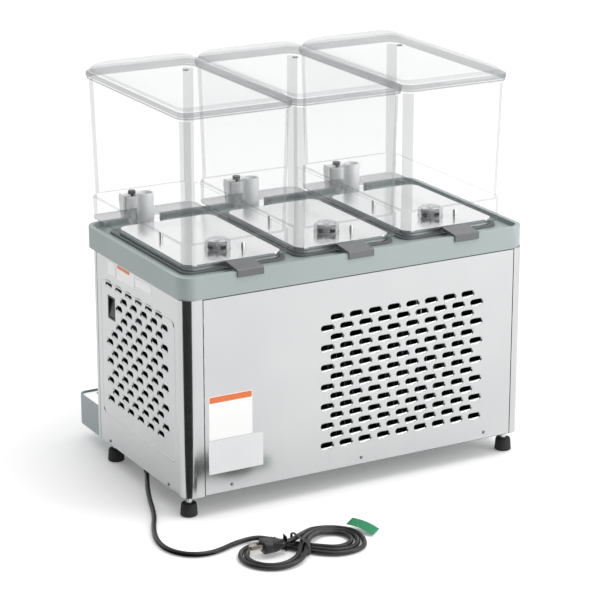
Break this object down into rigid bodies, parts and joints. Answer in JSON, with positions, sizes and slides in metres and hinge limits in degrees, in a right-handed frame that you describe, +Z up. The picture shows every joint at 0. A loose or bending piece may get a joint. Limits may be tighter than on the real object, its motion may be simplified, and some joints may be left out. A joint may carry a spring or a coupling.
{
  "type": "refrigerated drink dispenser",
  "caption": "Chilled counter drink dispenser: clear lidded bowls with agitators and push taps on a vented steel cooling cabinet, with a drip tray and a coiled power cord.",
  "frame": {"origin": "on the floor under the middle of the machine's outline, without the power cord", "axes": "+Z up; the taps and drip tray face -Y, the rear vent panel faces +Y, the power switch is on the +X side"},
  "size_m": [0.7086, 0.672, 0.6698],
  "materials": {
    "stainless_panel": "satin",
    "deck_grey": "satin moulded plastic",
    "clear_bowl": "clear polycarbonate",
    "black_rubber": "matt",
    "plated_steel": "bright",
    "stainless_plate": "fine brushed",
    "black_plastic": "matt",
    "white_plastic": "gloss",
    "smoke_plastic": "gloss",
    "compressor_black": "satin paint",
    "aluminium_fin": "plain",
    "galvanised": "galvanised sheet",
    "spring_steel": "wire",
    "tray_grey": "moulded plastic",
    "pin_metal": "nickel plate",
    "tag_green": "printed tag",
    "cord_black": "cord sheath"
  },
  "bodies": {
    "cabinet": {"base_pan": "galvanised", "right_side_panel": "stainless_panel", "left_side_panel": "stainless_panel", "rear_panel": "stainless_panel", "front_panel": "stainless_panel", "top_deck": "deck_grey", "rubber_feet": "black_rubber", "foot_studs": "plated_steel", "panel_screws": "plated_steel", "switch_bezel": "black_plastic", "compressor": "compressor_black", "condenser": "aluminium_fin", "fan_shroud": "black_plastic", "fan_motor": "galvanised", "control_box": "galvanised", "bowl_gaskets": "black_rubber", "cord_gland": "black_plastic", "cord_tube": "cord_black", "cord_hank": "cord_black", "plug_body": "black_plastic", "plug_prongs": "pin_metal", "cord_tie": "black_plastic", "cord_tag": "tag_green", "cold_plate_1": "stainless_plate", "cold_plate_2": "stainless_plate", "cold_plate_3": "stainless_plate", "drive_motor_1": "galvanised", "drive_motor_2": "galvanised", "drive_motor_3": "galvanised", "impeller_cap_1": "white_plastic", "impeller_cap_2": "white_plastic", "impeller_cap_3": "white_plastic"},
    "fan": {"fan_blades": "black_plastic"},
    "power_rocker": {"switch_rocker": "black_plastic"},
    "tray": {"drip_tray": "tray_grey"},
    "grille": {"drip_grille": "stainless_plate"},
    "bowl_unit_1": {"bowl_1": "clear_bowl", "rear_hook_1": "smoke_plastic", "tap_body_1": "white_plastic", "tap_spring_1": "spring_steel"},
    "lid_unit_1": {"lid_1": "clear_bowl"},
    "agitator_1": {"impeller_1": "black_plastic"},
    "stem_1": {"tap_stem_1": "black_plastic"},
    "lever_1": {"tap_lever_1": "white_plastic"},
    "bowl_unit_2": {"bowl_2": "clear_bowl", "rear_hook_2": "smoke_plastic", "tap_body_2": "white_plastic", "tap_spring_2": "spring_steel"},
    "lid_unit_2": {"lid_2": "clear_bowl"},
    "agitator_2": {"impeller_2": "black_plastic"},
    "stem_2": {"tap_stem_2": "black_plastic"},
    "lever_2": {"tap_lever_2": "white_plastic"},
    "bowl_unit_3": {"bowl_3": "clear_bowl", "rear_hook_3": "smoke_plastic", "tap_body_3": "white_plastic", "tap_spring_3": "spring_steel"},
    "lid_unit_3": {"lid_3": "clear_bowl"},
    "agitator_3": {"impeller_3": "black_plastic"},
    "stem_3": {"tap_stem_3": "black_plastic"},
    "lever_3": {"tap_lever_3": "white_plastic"}
  },
  "joints": [
    {"name": "bowl_1_lift", "type": "slide", "parent": "cabinet", "child": "bowl_unit_1", "axis": [0, 0, 1], "range_m": [0, 0.12]},
    {"name": "lid_1_lift", "type": "slide", "parent": "bowl_unit_1", "child": "lid_unit_1", "axis": [0, 0, 1], "range_m": [0, 0.1]},
    {"name": "agitator_1_spin", "type": "hinge", "parent": "cabinet", "child": "agitator_1", "pos_m": [0.1973, 0.104, 0.4015], "axis": [0, 0, 1], "continuous": true},
    {"name": "tap_1_lever", "type": "hinge", "parent": "bowl_unit_1", "child": "lever_1", "pos_m": [0.2053, -0.202, 0.4125], "axis": [1, 0, 0], "range_deg": [0, 15], "stiffness_Nm_per_rad": 0.25, "springref_deg": -8.59},
    {"name": "tap_1_stem", "type": "slide", "parent": "bowl_unit_1", "child": "stem_1", "axis": [0, 0, 1], "range_m": [0, 0.0031], "deforming": ["tap_spring_1"]},
    {"name": "bowl_2_lift", "type": "slide", "parent": "cabinet", "child": "bowl_unit_2", "axis": [0, 0, 1], "range_m": [0, 0.12]},
    {"name": "lid_2_lift", "type": "slide", "parent": "bowl_unit_2", "child": "lid_unit_2", "axis": [0, 0, 1], "range_m": [0, 0.1]},
    {"name": "agitator_2_spin", "type": "hinge", "parent": "cabinet", "child": "agitator_2", "pos_m": [0, 0.104, 0.4015], "axis": [0, 0, 1], "continuous": true},
    {"name": "tap_2_lever", "type": "hinge", "parent": "bowl_unit_2", "child": "lever_2", "pos_m": [0.008, -0.202, 0.4125], "axis": [1, 0, 0], "range_deg": [0, 15], "stiffness_Nm_per_rad": 0.25, "springref_deg": -8.59},
    {"name": "tap_2_stem", "type": "slide", "parent": "bowl_unit_2", "child": "stem_2", "axis": [0, 0, 1], "range_m": [0, 0.0031], "deforming": ["tap_spring_2"]},
    {"name": "bowl_3_lift", "type": "slide", "parent": "cabinet", "child": "bowl_unit_3", "axis": [0, 0, 1], "range_m": [0, 0.12]},
    {"name": "lid_3_lift", "type": "slide", "parent": "bowl_unit_3", "child": "lid_unit_3", "axis": [0, 0, 1], "range_m": [0, 0.1]},
    {"name": "agitator_3_spin", "type": "hinge", "parent": "cabinet", "child": "agitator_3", "pos_m": [-0.1973, 0.104, 0.4015], "axis": [0, 0, 1], "continuous": true},
    {"name": "tap_3_lever", "type": "hinge", "parent": "bowl_unit_3", "child": "lever_3", "pos_m": [-0.1893, -0.202, 0.4125], "axis": [1, 0, 0], "range_deg": [0, 15], "stiffness_Nm_per_rad": 0.25, "springref_deg": -8.59},
    {"name": "tap_3_stem", "type": "slide", "parent": "bowl_unit_3", "child": "stem_3", "axis": [0, 0, 1], "range_m": [0, 0.0031], "deforming": ["tap_spring_3"]},
    {"name": "fan_spin", "type": "hinge", "parent": "cabinet", "child": "fan", "pos_m": [-0.082, 0.132, 0.1422], "axis": [0, 1, 0], "continuous": true},
    {"name": "power_switch", "type": "hinge", "parent": "cabinet", "child": "power_rocker", "pos_m": [0.3043, -0.048, 0.278], "axis": [0, 1, 0], "range_deg": [-12, 0]},
    {"name": "tray_slide", "type": "slide", "parent": "cabinet", "child": "tray", "axis": [0, -1, 0], "range_m": [0, 0.09]},
    {"name": "grille_lift", "type": "slide", "parent": "tray", "child": "grille", "axis": [0, 0, 1], "range_m": [0, 0.05]}
  ],
  "couplings": [
    {"joint": "tap_1_stem", "follows": "tap_1_lever", "m_per_rad": 0.0115},
    {"joint": "tap_2_stem", "follows": "tap_2_lever", "m_per_rad": 0.0115},
    {"joint": "tap_3_stem", "follows": "tap_3_lever", "m_per_rad": 0.0115}
  ]
}
